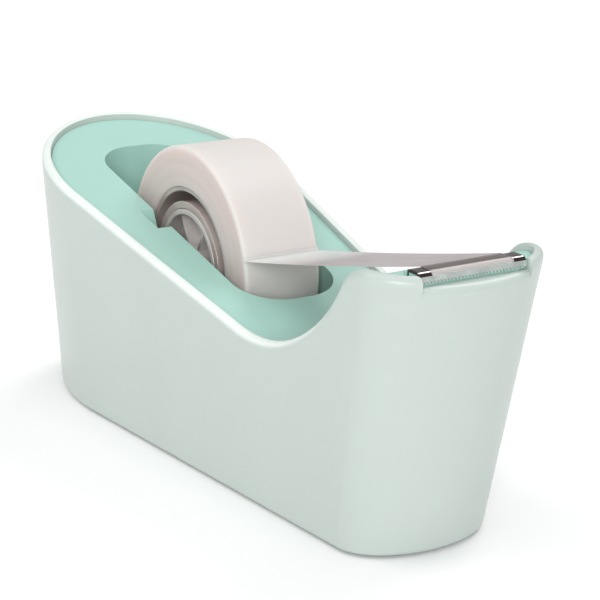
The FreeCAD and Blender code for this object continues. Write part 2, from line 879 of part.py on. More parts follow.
def strip_run():
    """Ends and middle of the strip's lower face between the roll and the cutter, seen from the side."""
    axle = Vector(val("roll_x"), 0, val("roll_z"))
    peel = axle + Vector(val("strip_peel_x"), 0, val("strip_peel_z"))
    top = Vector(val("blade_back_x"), 0, val("blade_top") + val("strip_blade_gap"))
    rise = math.atan2(top.z - peel.z, top.x - peel.x)
    radius = val("tape_radius") + val("strip_roll_gap")
    from_axle = top - axle
    along = from_axle.dot(heading(rise))
    beside = from_axle.dot(left_of(rise))
    start = top - heading(rise) * (along - math.sqrt(radius ** 2 - beside ** 2))
    middle = (start + top) * 0.5 - left_of(rise) * val("strip_sag")
    return start, middle, top


def make_tape_strip():
    """Free strip from the roll's front to the cutter, sagging a little, pressed over top and flange."""
    start, middle, top = strip_run()
    angle = math.radians(val("flange_angle"))
    down = Vector(math.sin(angle), 0, -math.cos(angle))
    square = Vector(math.cos(angle), 0, math.sin(angle))
    bend = Vector(val("blade_bend_x"), 0, top.z)
    lift = Vector(val("strip_blade_gap"), 0, 0)
    end = bend + down * val("strip_end") + lift
    sheet = val("strip_sheet")
    raised = Vector(0, 0, sheet)
    fold = bend + (raised + square * sheet) * 0.5 + lift
    edges = [
        Part.Arc(start, middle, top).toShape(),
        Part.makeLine(top, bend),
        Part.makeLine(bend, end),
        Part.makeLine(end, end + square * sheet),
        Part.makeLine(end + square * sheet, fold),
        Part.makeLine(fold, top + raised),
        Part.Arc(top + raised, middle + raised, start + raised).toShape(),
        Part.makeLine(start + raised, start),
    ]
    face = Part.Face(Part.Wire(edges))
    face.translate(Vector(0, -0.5 * val("tape_width"), 0))
    return feature("strip", face.extrude(Vector(0, val("tape_width"), 0)))


# ---------------------------------------------------------------- base and weights

def slice_of(name, form, low, thickness):
    """The part of a casing form between two heights."""
    start = ("-1.5 * back_reach", "-1 * back_reach", low)
    slab = box(name + "_slab", "3 * back_reach", "2 * back_reach", thickness, *start)
    return common(name, [form, slab])


def screw_places(name, make):
    return pillar_places(name + "_pillar", make) + post_places(name + "_post", make)


def bolt_places(name, make):
    return four_places(name, make, "bolt_front_x", "bolt_y", "bolt_back_x", "bolt_y")


def make_base_plate(forms):
    plate = slice_of("plate", forms["base"], "pad_top", "base_thickness")
    screw_holes = screw_places(
        "screw_hole", lambda name, x, y: stepped_hole(name, x, y, "screw_hole", "screw_head_radius")
    )
    bolt_holes = bolt_places(
        "bolt_hole", lambda name, x, y: stepped_hole(name, x, y, "bolt_hole", "bolt_head_radius")
    )
    return cut("base", plate, screw_holes + bolt_holes)


def stepped_hole(name, x, y, radius, head_radius):
    """Hole through the base plate with a counterbore for the head underneath."""
    through = upright(f"{name}_through", radius, "2 * base_top", x, y, "0")
    sink = upright(
        f"{name}_sink", f"{head_radius} + 2 * screw_play", "screw_head_height + screw_play", x, y, "pad_top"
    )
    return fuse(name, [through, sink])


def screw(name, x, y, head_radius, shank, length):
    """Pan-head screw, head down, seated in the base plate's counterbore."""
    low = "pad_top + screw_play"
    head = upright(f"{name}_head", head_radius, "screw_head_height", x, y, low)
    stem = upright(f"{name}_stem", shank, length, x, y, f"{low} + screw_head_height")
    recess = upright(f"{name}_recess", "recess_radius", "recess_depth", x, y, low)
    return cut(name, fuse(f"{name}_blank", [head, stem]), [recess])


def make_base_screws():
    return group("screws", screw_places(
        "screw", lambda name, x, y: screw(name, x, y, "screw_head_radius", "screw_shank", "screw_length")
    ))


def make_ballast_bolts():
    return group("bolts", bolt_places(
        "bolt", lambda name, x, y: screw(name, x, y, "bolt_head_radius", "bolt_shank", "bolt_length")
    ))


def ballast_holes(name):
    def hole(label, x, y):
        return upright(label, "bolt_shank + running_gap", "bolt_length + base_top", x, y, "0")

    return bolt_places(name, hole)


def make_front_ballast(forms):
    wide = box(
        "front_ballast_wide", "front_ballast_step - front_ballast_start", "back_reach",
        "front_ballast_top - base_top", "front_ballast_start", "-0.5 * back_reach", "base_top",
    )
    tongue = box(
        "front_ballast_tongue_block", "front_ballast_end - front_ballast_start",
        "2 * front_ballast_tongue", "front_ballast_top - base_top",
        "front_ballast_start", "-1 * front_ballast_tongue", "base_top",
    )
    block = common("front_ballast_block", [forms["ballast"], fuse("front_ballast_tee", [wide, tongue])])
    return cut("front_weight", block, ballast_holes("front_ballast_hole"))


def make_back_ballast(forms):
    wide = box(
        "back_ballast_wide", "back_ballast_end - back_ballast_start", "back_reach",
        "back_ballast_top - base_top", "back_ballast_start", "-0.5 * back_reach", "base_top",
    )
    block = common("back_ballast_block", [forms["ballast"], wide])
    return cut("back_weight", block, ballast_holes("back_ballast_hole"))


def make_ballast_plate():
    return box(
        "middle_weight", "plate_ballast_end - plate_ballast_start", "2 * plate_ballast_half_width",
        "plate_ballast_thickness", "plate_ballast_start", "-1 * plate_ballast_half_width", "base_top",
    )


# ---------------------------------------------------------------- document

def build():
    fill_sheet()
    height = val("form_height")
    forms = {
        "outer": casing_form("outer_form", 0, val("shell_bottom"), height),
        "cavity": casing_form("cavity_form", val("wall"), -1, height + 1),
        "tray": casing_form("tray_form", val("wall") + val("tray_clearance"), 0, height),
        "base": casing_form("base_form", val("wall") + val("base_clearance"), 0, height),
        "ballast": casing_form("ballast_form", val("wall") + val("ballast_gap"), 0, height),
        "pad": casing_form("pad_form", val("pad_inset"), 0, height),
        "above_rim": above_rim("above_rim", 0),
        "above_tray": above_rim("above_tray", val("tray_drop")),
        "above_tray_underside": above_rim(
            "above_tray_underside", val("tray_drop") + val("tray_thickness")
        ),
    }
    publish(make_outer_shell(forms), "outer_shell")
    publish(make_inner_tray(forms), "inner_tray")
    publish(make_cutter_blade(), "cutter_blade")
    publish(make_base_plate(forms), "base_plate")
    publish(slice_of("pad", forms["pad"], "0", "pad_thickness"), "non_slip_pad")
    publish(slice_of("glue", forms["pad"], "pad_thickness", "glue_thickness"), "pad_adhesive")
    publish(make_front_ballast(forms), "front_ballast")
    publish(make_back_ballast(forms), "back_ballast")
    publish(make_ballast_plate(), "ballast_plate")
    publish(make_base_screws(), "base_screws")
    publish(make_ballast_bolts(), "ballast_bolts")
    publish(make_axle_pin(), "axle_pin")
    publish(make_axle_washers(), "axle_washers")
    publish(make_hub("hub_left", "1", True), "hub_left")
    publish(make_hub("hub_right", "-1", False), "hub_right")
    publish(make_tape_core(), "tape_core")
    publish(make_tape_winding(), "tape_winding")
    publish(make_tape_strip(), "tape_strip")
    DOC.recompute()


def check():
    """Stop on any failed object, and on any sub-part without a sound shape."""
    for obj in DOC.Objects:
        if "Invalid" in obj.State or "Error" in obj.State:
            raise RuntimeError(f"{obj.Name} failed: {obj.State}")
    for obj in PARTS:
        if obj.Shape.isNull() or not obj.Shape.isValid():
            raise RuntimeError(f"{obj.Label} has no sound shape")


def extent(bounds):
    """The three ranges of a bounding box, as text."""
    return (
        f"x {bounds.XMin:8.3f} {bounds.XMax:8.3f}  y {bounds.YMin:8.3f} {bounds.YMax:8.3f}"
        f"  z {bounds.ZMin:7.3f} {bounds.ZMax:7.3f}"
    )


def write():
    os.makedirs("parts", exist_ok=True)
    whole = FreeCAD.BoundBox()
    for obj in PARTS:
        obj.Shape.exportStep(f"parts/{obj.Label}.step")
        bounds = obj.Shape.optimalBoundingBox()
        whole.add(bounds)
        solids = len(obj.Shape.Solids)
        print(f"{obj.Label:14s} solids {solids} volume {obj.Shape.Volume:9.1f}  {extent(bounds)}")
    print(f"whole  {extent(whole)}")


build()
check()
write()
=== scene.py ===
"""Looks of a weighted desk tape dispenser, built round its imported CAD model.

Metres, +X towards the cutter, +Y across the roll, +Z up.  The casing, the tray, the base and the hardware
keep their CAD meshes and get procedural materials.  The winding, its core, the two hub halves, the free
strip and the cutter are built here as finer meshes that stand for their CAD nodes.
"""
import math
import random

import bmesh
import bpy
from mathutils import Matrix, Vector


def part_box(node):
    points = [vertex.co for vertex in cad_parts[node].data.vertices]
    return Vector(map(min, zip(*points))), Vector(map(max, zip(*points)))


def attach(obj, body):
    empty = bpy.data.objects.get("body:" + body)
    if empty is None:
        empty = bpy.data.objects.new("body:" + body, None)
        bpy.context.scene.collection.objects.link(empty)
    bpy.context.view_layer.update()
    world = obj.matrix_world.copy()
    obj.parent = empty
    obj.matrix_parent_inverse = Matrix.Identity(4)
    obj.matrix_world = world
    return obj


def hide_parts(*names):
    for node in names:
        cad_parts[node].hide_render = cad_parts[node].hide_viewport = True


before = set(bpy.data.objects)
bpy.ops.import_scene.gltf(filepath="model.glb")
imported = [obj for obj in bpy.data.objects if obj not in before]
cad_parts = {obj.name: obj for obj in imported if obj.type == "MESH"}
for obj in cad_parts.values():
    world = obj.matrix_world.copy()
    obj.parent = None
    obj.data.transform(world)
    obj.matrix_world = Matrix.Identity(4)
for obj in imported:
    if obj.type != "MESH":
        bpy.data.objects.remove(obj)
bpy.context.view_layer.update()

MM = 0.001

# ------------------------------------------------------------------ view and light

AZIMUTH = 57.621
ELEVATION = 16.935
ROLL = 0.793
DISTANCE = 0.406715
AIM = Vector((-0.00601, 0.01386, 0.03048))
LENS = 105.156
SENSOR = 36.0
LAMP_DISTANCE = 3.0
DOME_STRENGTH = 0.55


def direction(azimuth, elevation):
    """Unit vector from the object towards a viewer or lamp at these angles in degrees."""
    turn = math.radians(azimuth)
    rise = math.radians(elevation)
    return Vector((math.sin(turn) * math.cos(rise), -math.cos(turn) * math.cos(rise), math.sin(rise)))


def add_camera():
    back = direction(AZIMUTH, ELEVATION)
    turn = math.radians(AZIMUTH)
    tilt = math.radians(ROLL)
    level = Vector((math.cos(turn), math.sin(turn), 0.0))
    right = math.cos(tilt) * level + math.sin(tilt) * back.cross(level)
    up = back.cross(right)
    data = bpy.data.cameras.new("camera")
    data.lens = LENS
    data.sensor_width = SENSOR
    data.clip_start = 0.01
    data.clip_end = 50.0
    camera = bpy.data.objects.new("camera", data)
    facing = Matrix((right, up, back)).transposed().to_4x4()
    camera.matrix_world = Matrix.Translation(AIM + DISTANCE * back) @ facing
    bpy.context.scene.collection.objects.link(camera)
    bpy.context.scene.camera = camera


def add_softbox(name, azimuth, elevation, size, share):
    """Round area lamp facing the object; share is its light there as a share of a white dome's."""
    data = bpy.data.lights.new(name, "AREA")
    data.shape = "DISK"
    data.size = size
    data.energy = share * (math.pi * LAMP_DISTANCE) ** 2
    lamp = bpy.data.objects.new(name, data)
    towards = direction(azimuth, elevation)
    facing = towards.to_track_quat("Z", "Y").to_matrix().to_4x4()
    lamp.matrix_world = Matrix.Translation(AIM + LAMP_DISTANCE * towards) @ facing
    bpy.context.scene.collection.objects.link(lamp)


def add_studio():
    """White dome and four large soft lamps: by the camera, from the left, overhead and from behind."""
    world = bpy.data.worlds.new("studio")
    world.use_nodes = True
    surroundings = world.node_tree.nodes["Background"]
    surroundings.inputs["Color"].default_value = (1.0, 1.0, 1.0, 1.0)
    surroundings.inputs["Strength"].default_value = DOME_STRENGTH
    bpy.context.scene.world = world
    bpy.context.scene.view_settings.view_transform = "Standard"
    add_softbox("camera_softbox", azimuth=56, elevation=20, size=1.4, share=0.55)
    add_softbox("left_softbox", azimuth=-30, elevation=55, size=1.8, share=0.19)
    add_softbox("top_softbox", azimuth=60, elevation=80, size=2.0, share=0.16)
    add_softbox("back_softbox", azimuth=200, elevation=50, size=1.8, share=0.3)


# ------------------------------------------------------------------ material nodes

NOISE_LOW = 0.3
NOISE_HIGH = 0.7


def new_material(name, **sockets):
    """Material, node tree and shader; each keyword sets one shader socket, with _ for a space."""
    material = bpy.data.materials.new(name)
    material.use_nodes = True
    tree = material.node_tree
    shader = tree.nodes["Principled BSDF"]
    for socket, value in sockets.items():
        shader.inputs[socket.replace("_", " ")].default_value = value
    return material, tree, shader


def node(tree, kind, inputs=None, **settings):
    made = tree.nodes.new("ShaderNode" + kind)
    for setting, value in settings.items():
        setattr(made, setting, value)
    for socket, value in (inputs or {}).items():
        if isinstance(value, bpy.types.NodeSocket):
            tree.links.new(value, made.inputs[socket])
        else:
            made.inputs[socket].default_value = value
    return made


def position(tree, stretch=(1.0, 1.0, 1.0)):
    """Place on the piece in metres, scaled along each axis."""
    own = node(tree, "TexCoord").outputs["Object"]
    return node(tree, "Mapping", {"Vector": own, "Scale": stretch}).outputs["Vector"]


def noise(tree, scale, detail=3.0, stretch=(1.0, 1.0, 1.0)):
    """Noise with about scale bumps to the metre."""
    inputs = {"Vector": position(tree, stretch), "Scale": scale, "Detail": detail}
    return node(tree, "TexNoise", inputs).outputs["Fac"]


def remap(tree, source, start, end, low, high):
    """Source from start to end becomes low to high, and stays there outside."""
    inputs = {"Value": source, "From Min": start, "From Max": end, "To Min": low, "To Max": high}
    return node(tree, "MapRange", inputs).outputs["Result"]


def tint(tree, source, *stops):
    """Colour from a value, by stops of (value, linear RGB)."""
    ramp = node(tree, "ValToRGB", {"Fac": source})
    elements = ramp.color_ramp.elements
    while len(elements) < len(stops):
        elements.new(1.0)
    for element, (where, colour) in zip(elements, stops):
        element.position = where
        element.color = (*colour, 1.0)
    return ramp.outputs["Color"]


def blended(tree, share, first, second):
    """Colour that goes from the first to the second as share goes from 0 to 1."""
    mix = node(tree, "Mix", data_type="RGBA")
    colour_sockets = [socket for socket in mix.inputs if socket.type == "RGBA"]
    tree.links.new(share, mix.inputs["Factor"])
    tree.links.new(first, colour_sockets[0])
    tree.links.new(second, colour_sockets[1])
    return next(socket for socket in mix.outputs if socket.type == "RGBA")


def shade(colour, share):
    return tuple(share * channel for channel in colour)


def mottled(tree, source, colour, dark, light):
    """The colour times dark where the noise is low, going to times light where it is high."""
    return tint(tree, source, (NOISE_LOW, shade(colour, dark)), (NOISE_HIGH, shade(colour, light)))


def uneven_gloss(tree, shader, source, low, high):
    link(tree, remap(tree, source, NOISE_LOW, NOISE_HIGH, low, high), shader, "Roughness")


def relief(tree, shader, *layers):
    """Bumps on the surface, each layer a height source and its depth in metres."""
    normal = None
    for height, depth in layers:
        inputs = {"Height": height, "Distance": depth}
        if normal is not None:
            inputs["Normal"] = normal
        normal = node(tree, "Bump", inputs).outputs["Normal"]
    tree.links.new(normal, shader.inputs["Normal"])


def link(tree, source, shader, socket):
    tree.links.new(source, shader.inputs[socket])


def from_axle(tree):
    """Distance of a point of the piece from the axle, in metres."""
    own = node(tree, "TexCoord").outputs["Object"]
    offset = node(tree, "VectorMath", {0: own, 1: AXLE}, operation="SUBTRACT").outputs["Vector"]
    flat = node(tree, "VectorMath", {0: offset, 1: (1.0, 0.0, 1.0)}, operation="MULTIPLY").outputs["Vector"]
    return node(tree, "VectorMath", {0: flat}, operation="LENGTH").outputs["Value"]


# ------------------------------------------------------------------ materials

CASING_COLOUR = (0.475, 0.538, 0.505)
# Painted highlight colour for the casing's upturned rim.
RIM_HIGHLIGHT_COLOUR = (0.73, 0.79, 0.755)
TRAY_COLOUR = (0.365, 0.595, 0.525)
BASE_COLOUR = (0.5, 0.57, 0.53)
NYLON_COLOUR = (0.78, 0.76, 0.7)
TAPE_SIDE_COLOUR = (0.60, 0.52, 0.495)
TAPE_FACE_COLOUR = (0.635, 0.605, 0.585)
CORE_COLOUR = (0.42, 0.355, 0.33)
HUB_COLOUR = (0.62, 0.58, 0.555)
# Painted paleness of the film next to the roll, for the roll's white showing through it.
FILM_PAINTED_NEAR_ROLL_COLOUR = (0.94, 0.885, 0.87)
FREE_FILM_COLOUR = (0.40, 0.335, 0.34)
# Film on the blade's top painted dark for the dark steel seen through it.
PRESSED_FILM_PAINTED_DARK_COLOUR = (0.2, 0.165, 0.155)
# Painted highlight of the film where it folds over the blade's bend.
FOLDED_FILM_HIGHLIGHT_COLOUR = (0.72, 0.65, 0.63)
# Steel painted dark for the dark reflections seen on the blade.
STEEL_PAINTED_DARK_REFLECTION_COLOUR = (0.085, 0.066, 0.064)
# Brighter ground steel, tinted mint as a painted reflection of the casing.
GROUND_STEEL_MINT_REFLECTION_COLOUR = (0.76, 0.83, 0.8)
# Painted highlight along the blade's bend.
BEND_HIGHLIGHT_STEEL_COLOUR = (0.8, 0.76, 0.75)
SCREW_COLOUR = (0.62, 0.61, 0.56)
AXLE_COLOUR = (0.6, 0.6, 0.61)

FLOW_DARK = 0.985
FLOW_LIGHT = 1.012
# Where the casing's painted rim highlight fades out towards the cutter, and how far a face must turn
# upwards for it.
RIM_HIGHLIGHT_END = 55.0 * MM
RIM_HIGHLIGHT_FADE = 8.0 * MM
RIM_UP_START = 0.12
RIM_UP_FULL = 0.6
SINK_DEPTH = 0.03 * MM
FACE_START = 1.4 * MM
FACE_FULL = 0.1 * MM
# Where the film's painted paleness near the roll ends and its own colour takes over.
FILM_PAINTED_PALE_END = 4.0 * MM
FILM_OWN_START = 24.0 * MM


def moulded_plastic(name, colour, roughness, grain_depth, edge_and_highlight_colour=None, **sockets):
    """Injection-moulded plastic: faint flow mottling, eroded-mould grain, slow sink and uneven gloss.

    Where the surface turns upwards, as on a thin rounded rim, it can pale to a painted highlight that
    stands in for the light falling on the rim.  It keeps its own colour towards the cutter.
    """
    material, tree, shader = new_material(name, **sockets)
    flow = noise(tree, 38.0, 4.0, (1.0, 1.0, 0.45))
    own = mottled(tree, flow, colour, FLOW_DARK, FLOW_LIGHT)
    if edge_and_highlight_colour is not None:
        # Painted highlight: faces that turn upwards, short of the cutter, are painted paler for the light
        # falling on the rim.
        normal = node(tree, "TexCoord").outputs["Normal"]
        upward = node(tree, "SeparateXYZ", {"Vector": normal}).outputs["Z"]
        painted_pale = mottled(tree, flow, edge_and_highlight_colour, FLOW_DARK, FLOW_LIGHT)
        along = node(tree, "SeparateXYZ", {"Vector": position(tree)}).outputs["X"]
        reach = remap(tree, along, RIM_HIGHLIGHT_END, RIM_HIGHLIGHT_END + RIM_HIGHLIGHT_FADE, 1.0, 0.0)
        turned = remap(tree, upward, RIM_UP_START, RIM_UP_FULL, 0.0, 1.0)
        highlight_share = node(tree, "Math", {0: turned, 1: reach}, operation="MULTIPLY").outputs["Value"]
        own = blended(tree, highlight_share, own, painted_pale)
    link(tree, own, shader, "Base Color")
    smudge = noise(tree, 24.0, 2.0)
    uneven_gloss(tree, shader, smudge, roughness - 0.01, roughness + 0.01)
    grain = noise(tree, 2600.0, 2.0)
    sink = noise(tree, 22.0, 0.0)
    relief(tree, shader, (grain, grain_depth), (sink, SINK_DEPTH))
    return material


def rings(tree, radius, scale):
    """Noise that changes only with the radius, with about scale rings to the metre."""
    inputs = {"W": radius, "Scale": scale, "Detail": 2.0}
    return node(tree, "TexNoise", inputs, noise_dimensions="1D").outputs["Fac"]


def tape_edges(name, edge_and_highlight_colour, face_colour):
    """Wound matte film: fine concentric layers on the sides, frosting and winding lines on the face."""
    material, tree, shader = new_material(
        name, IOR=1.45, Subsurface_Weight=0.6, Subsurface_Radius=(1.0, 0.72, 0.6), Subsurface_Scale=0.006,
    )
    radius = from_axle(tree)
    layers = rings(tree, radius, 5200.0)
    bands = rings(tree, radius, 700.0)
    sides = mottled(tree, bands, edge_and_highlight_colour, 0.98, 1.015)
    frost = noise(tree, 130.0, 4.0, (1.0, 0.35, 1.0))
    face = tint(tree, frost, (0.35, shade(face_colour, 0.97)), (0.65, face_colour))
    outer = remap(tree, radius, TAPE_RADIUS - FACE_START, TAPE_RADIUS - FACE_FULL, 0.0, 1.0)
    link(tree, blended(tree, outer, sides, face), shader, "Base Color")
    uneven_gloss(tree, shader, frost, 0.5, 0.62)
    lines = noise(tree, 900.0, 2.0, (0.04, 1.0, 0.04))
    relief(tree, shader, (layers, 0.000015), (lines, 0.00001))
    return material


def tape_film(name, colour, painted_near_roll, alpha):
    """One layer of matte film: fine lines along it, stretch marks across, painted paler towards the roll
    for the roll's white showing through it.
    """
    material, tree, shader = new_material(
        name, Alpha=alpha, IOR=1.47, Specular_IOR_Level=0.3,
        Subsurface_Weight=0.9, Subsurface_Radius=(1.0, 0.95, 0.95), Subsurface_Scale=0.0004,
    )
    marks = noise(tree, 220.0, 3.0, (0.25, 1.0, 0.25))
    own = mottled(tree, marks, colour, 0.95, 1.03)
    painted_pale = mottled(tree, marks, painted_near_roll, 0.98, 1.0)
    # Painted light: the film is painted paler near the roll, standing in for the roll's white showing
    # through it.
    painted_pale_end = TAPE_RADIUS + FILM_PAINTED_PALE_END
    own_start = TAPE_RADIUS + FILM_OWN_START
    away = remap(tree, from_axle(tree), painted_pale_end, own_start, 0.0, 1.0)
    link(tree, blended(tree, away, painted_pale, own), shader, "Base Color")
    uneven_gloss(tree, shader, marks, 0.3, 0.42)
    along = noise(tree, 1500.0, 2.0, (0.03, 1.0, 0.03))
    relief(tree, shader, (along, 0.00001))
    return material


def smoke_plastic(name, colour, alpha):
    """Translucent glossy moulding with flow lines."""
    material, tree, shader = new_material(name, Alpha=alpha, IOR=1.52, Coat_Weight=0.4, Coat_Roughness=0.06)
    flow = noise(tree, 160.0, 4.0, (1.0, 0.3, 1.0))
    link(tree, mottled(tree, flow, colour, 0.9, 1.08), shader, "Base Color")
    uneven_gloss(tree, shader, flow, 0.14, 0.24)
    relief(tree, shader, (noise(tree, 700.0, 3.0), 0.00003))
    return material


def steel(name, colour, roughness, lines, line_stretch, depth):
    """Metal with fine lines left by rolling, grinding or drawing, stretched along one direction."""
    material, tree, shader = new_material(name, Metallic=1.0)
    scratch = noise(tree, lines, 3.0, line_stretch)
    film = noise(tree, 240.0, 3.0)
    link(tree, mottled(tree, film, colour, 0.82, 1.08), shader, "Base Color")
    uneven_gloss(tree, shader, scratch, roughness - 0.06, roughness + 0.1)
    relief(tree, shader, (scratch, depth))
    return material


def cast_iron(name):
    """Rough sand-cast iron with pits and brown bloom."""
    material, tree, shader = new_material(name, Metallic=0.75)
    bloom = noise(tree, 160.0, 6.0)
    skin_iron = (0.42, (0.045, 0.044, 0.046))
    worn_iron = (0.58, (0.075, 0.07, 0.066))
    rust = (0.72, (0.16, 0.075, 0.035))
    link(tree, tint(tree, bloom, skin_iron, worn_iron, rust), shader, "Base Color")
    link(tree, remap(tree, bloom, 0.4, 0.7, 0.5, 0.85), shader, "Roughness")
    relief(tree, shader, (noise(tree, 1100.0, 4.0), 0.00018), (noise(tree, 260.0, 3.0), 0.0003))
    return material


def ribbed_rubber(name):
    """Dark non-slip sheet: a fine woven-looking grid of dimples, dust in patches."""
    material, tree, shader = new_material(name, Specular_IOR_Level=0.35)
    grid = node(tree, "TexVoronoi", {"Vector": position(tree), "Scale": 620.0, "Randomness": 0.15})
    dimples = grid.outputs["Distance"]
    dust = noise(tree, 120.0, 5.0)
    clean = (0.4, (0.017, 0.018, 0.018))
    dusty = (0.75, (0.05, 0.05, 0.048))
    link(tree, tint(tree, dust, clean, dusty), shader, "Base Color")
    link(tree, remap(tree, dust, 0.35, 0.7, 0.62, 0.85), shader, "Roughness")
    relief(tree, shader, (dimples, 0.0003), (noise(tree, 3000.0, 2.0), 0.00004))
    return material


def adhesive(name):
    """Double-sided tape between the base and the pad: cloudy film with fibres."""
    material, tree, shader = new_material(name, Subsurface_Weight=0.2, Subsurface_Scale=0.001)
    fibres = noise(tree, 800.0, 4.0, (0.2, 1.0, 1.0))
    glue = (0.35, (0.55, 0.5, 0.38))
    fibre = (0.65, (0.68, 0.64, 0.52))
    link(tree, tint(tree, fibres, glue, fibre), shader, "Base Color")
    uneven_gloss(tree, shader, fibres, 0.35, 0.6)
    relief(tree, shader, (fibres, 0.00003))
    return material


# ------------------------------------------------------------------ mesh helpers

EASED_SHARE = 0.45


def finish_piece(name, mesh, materials, bevel_normals=True):
    """Object from a bmesh, smooth-shaded, with its large faces kept flat when bevel_normals is set, linked
    to the scene.
    """
    bmesh.ops.recalc_face_normals(mesh, faces=mesh.faces)
    data = bpy.data.meshes.new(name)
    mesh.to_mesh(data)
    mesh.free()
    data.shade_smooth()
    for material in materials:
        data.materials.append(material)
    piece = bpy.data.objects.new(name, data)
    bpy.context.scene.collection.objects.link(piece)
    if bevel_normals:
        weighted = piece.modifiers.new("large faces flat", "WEIGHTED_NORMAL")
        weighted.weight = 80
    return piece


def stand_for(piece, cad_node, body):
    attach(piece, body)
    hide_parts(cad_node)


def on_axle(radius, turn, y):
    """Point at a radius and a turn about the axle, turning from +X up to +Z."""
    return Vector((AXLE.x + radius * math.cos(turn), y, AXLE.z + radius * math.sin(turn)))


def corner_curve(start, corner, end, steps):
    """Points of a smooth curve from start to end, drawn towards the corner."""
    points = []
    for step in range(steps + 1):
        share = step / steps
        points.append((1 - share) ** 2 * start + 2 * share * (1 - share) * corner + share ** 2 * end)
    return points


def rounded(corners, radius, steps=4):
    """Closed outline whose corners are eased by a curve of about this radius."""
    points = []
    corners = [Vector(corner) for corner in corners]
    for before, corner, after in zip(corners[-1:] + corners[:-1], corners, corners[1:] + corners[:1]):
        to_before = before - corner
        to_after = after - corner
        reach = min(radius, EASED_SHARE * to_before.length, EASED_SHARE * to_after.length)
        start = corner + reach * to_before.normalized()
        end = corner + reach * to_after.normalized()
        points += corner_curve(start, corner, end, steps)
    return points


def skin(mesh, loops, closed):
    """Quads between neighbouring loops of vertices; closed joins the last loop to the first."""
    pairs = list(zip(loops, loops[1:]))
    if closed:
        pairs.append((loops[-1], loops[0]))
    for first, second in pairs:
        for here in range(len(first)):
            there = (here + 1) % len(first)
            mesh.faces.new((first[here], first[there], second[there], second[here]))


def add_turned(mesh, outline, segments=144):
    """Ring of revolution about the axle from a closed outline of (radius, y)."""
    turns = [math.tau * step / segments for step in range(segments)]
    loops = [[mesh.verts.new(on_axle(radius, turn, y)) for radius, y in outline] for turn in turns]
    skin(mesh, loops, closed=True)


# ------------------------------------------------------------------ roll of tape

LOW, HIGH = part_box("tape_winding")
AXLE = (LOW + HIGH) / 2
TAPE_RADIUS = (HIGH.z - LOW.z) / 2
TAPE_HALF = (HIGH.y - LOW.y) / 2
CORE_RADIUS = (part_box("tape_core")[1].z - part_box("tape_core")[0].z) / 2
CORE_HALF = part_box("tape_core")[1].y
BORE_RADIUS = CORE_RADIUS + 0.05 * MM
LAYER = 0.06 * MM
SIDE_RINGS = 44
SIDE_RIPPLE = 0.02 * MM
TAPE_CORNER = 0.8 * MM
PEEL_POINT = Vector((26.2 * MM, 6.9 * MM))
PEEL_TURN = math.atan2(PEEL_POINT.y, PEEL_POINT.x)
WINDING_SEGMENTS = 220
LAST_GAP = math.radians(0.12)


def winding_outline(draws):
    """Half section of the winding: sides with uneven layers, eased corners and a nearly flat face."""
    flat = TAPE_RADIUS - TAPE_CORNER
    radii = [BORE_RADIUS + (flat - BORE_RADIUS) * ring / SIDE_RINGS for ring in range(SIDE_RINGS + 1)]
    near = [(radius, draws.uniform(0.0, SIDE_RIPPLE) - TAPE_HALF) for radius in radii]
    far = [(radius, TAPE_HALF - draws.uniform(0.0, SIDE_RIPPLE)) for radius in radii]
    bends = [math.radians(angle) for angle in (22.5, 45.0, 67.5, 90.0)]
    edge = TAPE_HALF - TAPE_CORNER
    near_corner = [(flat + TAPE_CORNER * math.sin(b), -edge - TAPE_CORNER * math.cos(b)) for b in bends]
    far_corner = [(radius, -y) for radius, y in reversed(near_corner)]
    return near + near_corner + far_corner + far[::-1]


def make_winding():
    """Roll whose last layer ends in a fine step where the free strip leaves it."""
    draws = random.Random(19)
    outline = winding_outline(draws)
    mesh = bmesh.new()
    loops = []
    for step in range(WINDING_SEGMENTS + 1):
        share = step / WINDING_SEGMENTS
        turn = PEEL_TURN + (math.tau - LAST_GAP) * share
        loop = []
        for radius, y in outline:
            step_and_bend_highlight = LAYER * share if radius > TAPE_RADIUS - 2 * TAPE_CORNER else 0.0
            loop.append(mesh.verts.new(on_axle(radius - step_and_bend_highlight, turn, y)))
        loops.append(loop)
    skin(mesh, loops, closed=True)
    material = tape_edges("tape_edges", TAPE_SIDE_COLOUR, TAPE_FACE_COLOUR)
    piece = finish_piece("tape_roll", mesh, [material], bevel_normals=False)
    stand_for(piece, "tape_winding", "roll")


# ------------------------------------------------------------------ core and hub

CORE_WALL = 1.1 * MM
CORE_INNER = 12.7 * MM
CORE_INNER_WALL = 1.75 * MM
CORE_WEB = 1.6 * MM
CORE_EASE = 0.3 * MM
HUB_RADIUS = (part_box("hub_right")[1].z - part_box("hub_right")[0].z) / 2
HUB_HALF = 9.3 * MM
HUB_WALL = 1.3 * MM
HUB_WEB_INSET = 4.4 * MM
HUB_WEB = 1.2 * MM
HUB_EASE = 0.28 * MM
RIB = 0.9 * MM
RIB_COUNT = 6
RIB_INSET = 1.6 * MM
RIB_OVERLAP = 0.3 * MM
RIB_FOOT = 0.2 * MM
RIB_CREST_HALF = 0.36 * RIB
RIB_EASE = 0.22 * MM
BOSS_RADIUS = 4.1 * MM
BOSS_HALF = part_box("hub_left")[1].y
AXLE_RADIUS = (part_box("axle_pin")[1].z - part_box("axle_pin")[0].z) / 2
BORE = AXLE_RADIUS + 0.06 * MM
SPIGOT_LENGTH = 3.0 * MM
SPIGOT_GAP = 0.1 * MM
SPIGOT_WALL = 1.0 * MM


